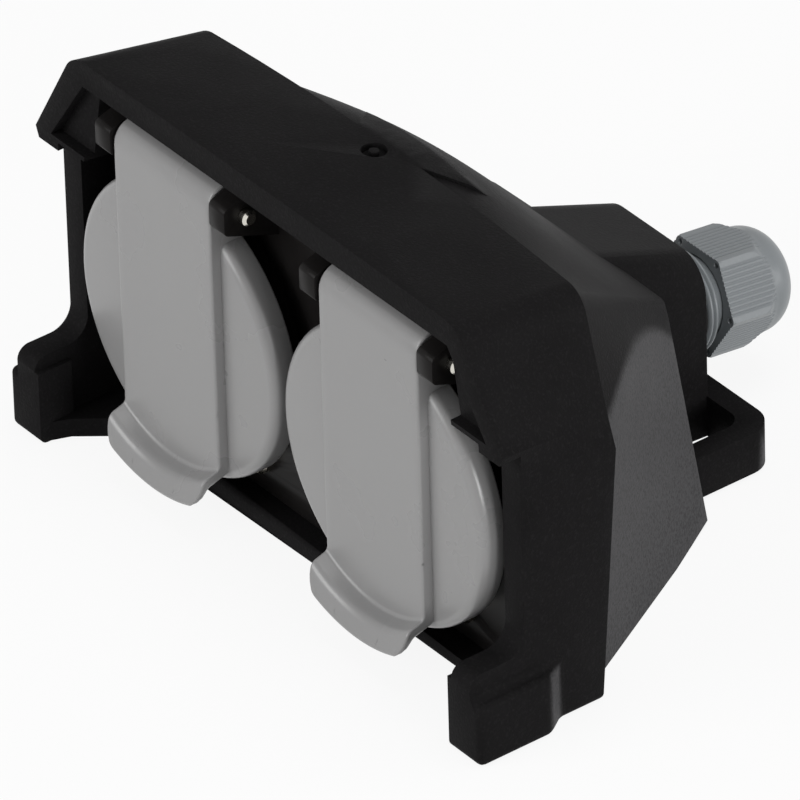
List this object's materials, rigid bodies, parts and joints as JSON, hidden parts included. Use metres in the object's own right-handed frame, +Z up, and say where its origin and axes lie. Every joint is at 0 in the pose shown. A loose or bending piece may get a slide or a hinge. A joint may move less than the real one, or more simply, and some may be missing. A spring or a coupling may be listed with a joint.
{
  "type": "two-way rubber trailing socket",
  "caption": "Black rubber trailing socket with a flared hood, two sprung grey lids over round earthed wells, a hanging loop and a grey cable gland.",
  "frame": {"origin": "middle of the footprint, on the floor the feet stand on", "axes": "+X across the two sockets to the right lid, +Y from the hood to the cable gland, +Z up"},
  "size_m": [0.131, 0.1146, 0.0793],
  "materials": {
    "claw_plastic": "satin",
    "contact_brass": "satin",
    "gland_plastic": "satin",
    "hood_rubber": "matt",
    "insert_plastic": "gloss",
    "lid_plastic": "satin",
    "pin_steel": "satin",
    "screw_steel": "satin",
    "seal_rubber": "matt",
    "spring_steel": "satin",
    "terminal_brass": "satin"
  },
  "bodies": {
    "shell": {"cable_seal": "seal_rubber", "claw_ring": "claw_plastic", "earth_busbar": "contact_brass", "earth_terminal": "terminal_brass", "earth_terminal_screw": "screw_steel", "gland_body": "gland_plastic", "gland_washer": "seal_rubber", "housing": "hood_rubber", "insert_gasket": "seal_rubber", "left_contact_carrier": "insert_plastic", "left_earth_clip": "contact_brass", "left_hinge_pin": "pin_steel", "left_inner_lower_screw": "screw_steel", "left_inner_upper_screw": "screw_steel", "left_lid_spring": "spring_steel", "left_line_sleeve": "contact_brass", "left_neutral_sleeve": "contact_brass", "left_outer_lower_screw": "screw_steel", "left_outer_upper_screw": "screw_steel", "left_well_cup": "insert_plastic", "line_busbar": "contact_brass", "line_terminal": "terminal_brass", "line_terminal_screw": "screw_steel", "neutral_busbar": "contact_brass", "neutral_terminal": "terminal_brass", "neutral_terminal_screw": "screw_steel", "right_contact_carrier": "insert_plastic", "right_earth_clip": "contact_brass", "right_hinge_pin": "pin_steel", "right_inner_lower_screw": "screw_steel", "right_inner_upper_screw": "screw_steel", "right_lid_spring": "spring_steel", "right_line_sleeve": "contact_brass", "right_neutral_sleeve": "contact_brass", "right_outer_lower_screw": "screw_steel", "right_outer_upper_screw": "screw_steel", "right_well_cup": "insert_plastic", "socket_insert": "insert_plastic"},
    "left_cover": {"left_lid": "lid_plastic", "left_lid_gasket": "seal_rubber"},
    "right_cover": {"right_lid": "lid_plastic", "right_lid_gasket": "seal_rubber"},
    "gland_nut": {"dome_nut": "gland_plastic"}
  },
  "joints": [
    {"name": "left_lid_hinge", "type": "hinge", "parent": "shell", "child": "left_cover", "pos_m": [-0.0283, -0.0464, 0.0668], "axis": [-1, 0, 0], "range_deg": [0, 110], "stiffness_Nm_per_rad": 0.012, "springref_deg": -34.38},
    {"name": "right_lid_hinge", "type": "hinge", "parent": "shell", "child": "right_cover", "pos_m": [0.0283, -0.0464, 0.0668], "axis": [-1, 0, 0], "range_deg": [0, 110], "stiffness_Nm_per_rad": 0.012, "springref_deg": -34.38},
    {"name": "gland_nut_turn", "type": "hinge", "parent": "shell", "child": "gland_nut", "pos_m": [0, 0.04292, 0.01771], "axis": [0, 0.9925, -0.1219], "continuous": true}
  ]
}
